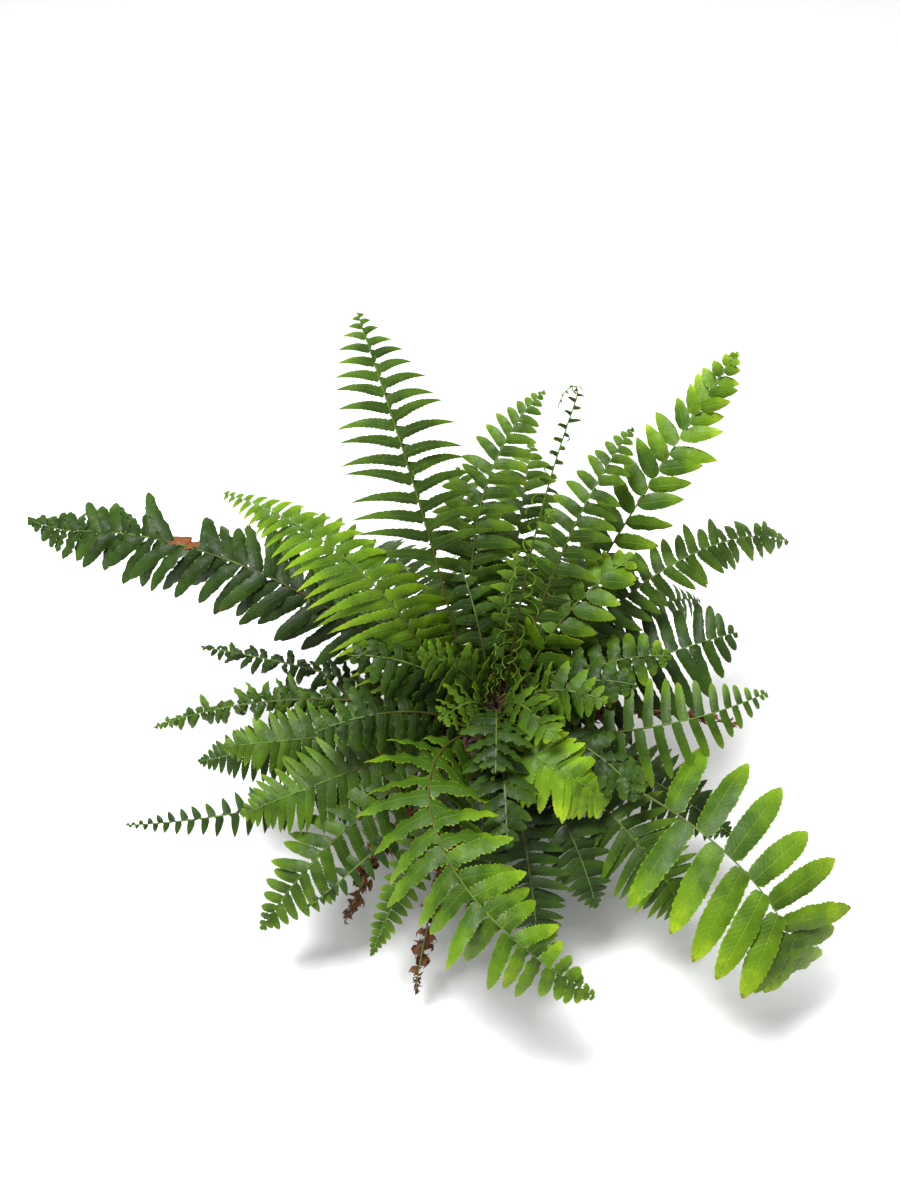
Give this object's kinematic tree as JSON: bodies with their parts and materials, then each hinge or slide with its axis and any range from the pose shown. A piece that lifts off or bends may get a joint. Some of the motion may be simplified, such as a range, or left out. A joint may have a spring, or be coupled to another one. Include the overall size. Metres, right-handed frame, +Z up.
{
  "type": "potted fern",
  "caption": "Sword fern in a round black nursery pot: toothed pinnate fronds arch out all round from one crown.",
  "frame": {"origin": "middle of the pot's foot, on the surface that it stands on", "axes": "+Z up along the pot's axis; -Y is the side that the bright front frond hangs over; +X is to the right seen from there"},
  "size_m": [0.5955, 0.4652, 0.4066],
  "materials": {
    "pot": "matt black moulded plastic",
    "mix": "rough damp bark and peat",
    "crown": "fibrous brown scales",
    "leaf_lime": "satin young leaf",
    "leaf_bright": "satin leaf",
    "leaf_mid": "satin leaf",
    "leaf_dark": "satin old leaf",
    "leaf_dry": "dull withered leaf"
  },
  "bodies": {
    "root": {"nursery_pot": "pot", "potting_mix": "mix", "rhizome_crown": "crown", "frond_back_tall": "leaf_mid", "frond_back_dark": "leaf_mid", "frond_crozier": "leaf_mid", "frond_back_narrow": "leaf_mid", "frond_back_inner": "leaf_mid", "frond_back_broad": "leaf_mid", "frond_back_shaded": "leaf_mid", "frond_right_tall": "leaf_bright", "frond_right_cupped": "leaf_bright", "frond_right_bowed": "leaf_mid", "frond_right_dark": "leaf_dark", "frond_right_comb": "leaf_mid", "frond_right_withered": "leaf_dry", "frond_right_twisted": "leaf_dry", "frond_right_lower": "leaf_dark", "frond_right_fan": "leaf_bright", "frond_right_low": "leaf_mid", "frond_front_lime": "leaf_lime", "frond_front_right": "leaf_dark", "frond_front_dark": "leaf_dark", "frond_front_short": "leaf_dark", "frond_front_bright": "leaf_bright", "frond_front_dead": "leaf_dry", "frond_front_crumpled": "leaf_dry", "frond_front_left": "leaf_mid", "frond_left_arching": "leaf_lime", "frond_left_long": "leaf_dark", "frond_left_curly": "leaf_dark", "frond_left_dusky": "leaf_dark", "frond_left_ragged": "leaf_mid", "frond_left_comb": "leaf_mid", "frond_left_under": "leaf_dark", "frond_left_thin": "leaf_dark", "frond_left_layered": "leaf_mid", "frond_left_hanging": "leaf_mid", "frond_left_small": "leaf_dark", "frond_centre_curly": "leaf_mid", "frond_centre_left": "leaf_mid", "frond_centre_right": "leaf_mid", "fiddlehead": "leaf_mid", "frond_centre_north": "leaf_dark", "frond_centre_rear": "leaf_mid", "frond_centre_west": "leaf_dark", "frond_centre_low_left": "leaf_dark", "frond_centre_front": "leaf_dark", "frond_centre_south": "leaf_dark", "frond_centre_east": "leaf_dark", "frond_centre_low_right": "leaf_dark", "frond_centre_side": "leaf_mid", "frond_centre_dark": "leaf_dark", "frond_centre_mid": "leaf_mid", "frond_centre_arched": "leaf_mid", "frond_rear_right": "leaf_mid", "frond_rear_short": "leaf_dark", "frond_rear_middle": "leaf_mid", "frond_rear_wide": "leaf_dark", "frond_rear_left": "leaf_mid"}
  },
  "joints": []
}
